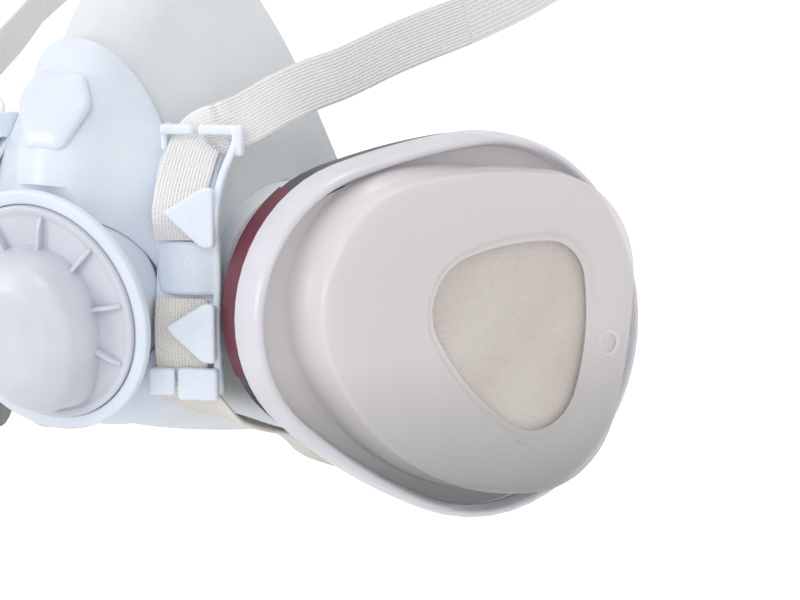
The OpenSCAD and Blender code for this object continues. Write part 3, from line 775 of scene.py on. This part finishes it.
def webbing_section(ribs=16, per_rib=4, depth=0.09):
    """Flat section with raised ribs on both faces, as (across, out)."""
    count = ribs * per_rib
    upper = []
    for k in range(count + 1):
        x = STRAP_W * (0.5 - k / count)
        fade = min(1.0, min(k, count - k) / 2)
        groove = depth * (0.5 - 0.5 * math.cos(math.tau * k / per_rib))
        upper.append((x, STRAP_T / 2 - groove - 0.35 * (1 - fade)))
    return upper + [(-x, -z) for x, z in upper]


def strap(name, route, widths, steps):
    section = webbing_section()
    lay = lambda run, j: (section[j % len(section)][0] * MM, run * MM)
    return sweep(name, route, widths, section, steps=steps, sharp=60, uv=lay)


def harness():
    pairs = (("upper_strap", UPPER, UPPER_WIDTH, WEBBING), ("lower_strap", LOWER, LOWER_WIDTH, LOWER_WEBBING))
    for name, route, widths, material in pairs:
        left = strap(name + "_webbing_left", route, widths, 8)
        right = mirrored_copy(left, name + "_webbing_right")
        wear(left, "mask", "webbing", material, name + "_left")
        wear(right, "mask", "webbing", material, name + "_right")
    mirror = lambda points: [(-x, y, z) for x, y, z in reversed(points[:-1])]
    band = strap("crown_band_webbing", BAND_ROUTE + mirror(BAND_ROUTE), BAND_WIDTH + mirror(BAND_WIDTH), 8)
    wear(band, "mask", "webbing", BAND, "crown_band")


def fittings():
    for name in ("strap_slider_left", "strap_slider_right", "neck_hook", "neck_loop"):
        keep(name, ANCHOR_PLASTIC)
    for name in ("port_socket_left", "port_socket_right"):
        keep(name, SILICONE)
    for name in ("port_nut_left", "port_nut_right", "exhalation_seat"):
        keep(name, VALVE_CAP)
    for name in ("exhalation_flap", "inhalation_flap_left", "inhalation_flap_right"):
        keep(name, FLAP)
    for name in ("port_gasket_left", "port_gasket_right"):
        keep(name, SEAL)


# ---- stage, in metres and degrees ----

VIEW_AZIMUTH, VIEW_ELEVATION, VIEW_FROM = 28.5, 11.3, (0.3414, -0.514, 0.1145)
LENS, SENSOR = 108, 36
FLOOR_DROP, FLOOR_RADIUS = 0.09, 12
SKY = 0.9

def camera():
    azimuth, elevation = math.radians(VIEW_AZIMUTH), math.radians(VIEW_ELEVATION)
    level = math.cos(elevation)
    back = Vector((math.sin(azimuth) * level, -math.cos(azimuth) * level, math.sin(elevation)))
    right = Vector((math.cos(azimuth), math.sin(azimuth), 0))
    eye = bpy.data.objects.new("camera", bpy.data.cameras.new("camera"))
    eye.data.lens, eye.data.sensor_width = LENS, SENSOR
    eye.matrix_world = Matrix((right, back.cross(right), back)).transposed().to_4x4()
    eye.location = VIEW_FROM
    bpy.context.scene.collection.objects.link(eye)
    bpy.context.scene.camera = eye


def lamp(name, place, target, size, power):
    light = bpy.data.lights.new(name, "AREA")
    light.shape, light.size, light.energy = "DISK", size, power
    source = bpy.data.objects.new(name, light)
    source.location = place
    source.rotation_euler = (Vector(target) - Vector(place)).to_track_quat("-Z", "Y").to_euler()
    bpy.context.scene.collection.objects.link(source)


def stage():
    low = cad_box[0][2] - FLOOR_DROP
    bm = bmesh.new()
    bmesh.ops.create_circle(bm, cap_ends=True, segments=96, radius=FLOOR_RADIUS)
    floor = finish_mesh("studio_floor", bm)
    floor.location = (0, 0, low)
    floor.visible_diffuse = floor.visible_glossy = False
    paper = Recipe("floor_paper", Roughness=0.9, Emission_Color=(1, 1, 1, 1), Emission_Strength=0.55)
    paper.color(paper.ramp(paper.noise(6, 2), [(0.3, (0.88, 0.88, 0.88, 1)), (0.7, (0.92, 0.92, 0.92, 1))]))
    floor.data.materials.append(paper.material)
    world = bpy.data.worlds.new("studio")
    world.use_nodes = True
    world.node_tree.nodes["Background"].inputs["Color"].default_value = (1, 1, 1, 1)
    world.node_tree.nodes["Background"].inputs["Strength"].default_value = SKY
    bpy.context.scene.world = world
    bpy.context.scene.view_settings.view_transform = "Standard"
    lamp("key", (0.1, -0.6, 0.4), (0.1, -0.05, 0.02), 0.25, 0.6)
    lamp("side", (-0.55, -0.75, 0.1), (0.1, -0.07, 0), 0.4, 2.0)
    lamp("rim", (-0.2, 0.3, 1.1), (0.05, 0, 0), 0.4, 1.5)


camera()
facepiece()
front_shell()
size_plate()
valve_housing()
exhalation_cover()
strap_anchors()
both(cartridge)
both(retainer)
harness()
fittings()
stage()
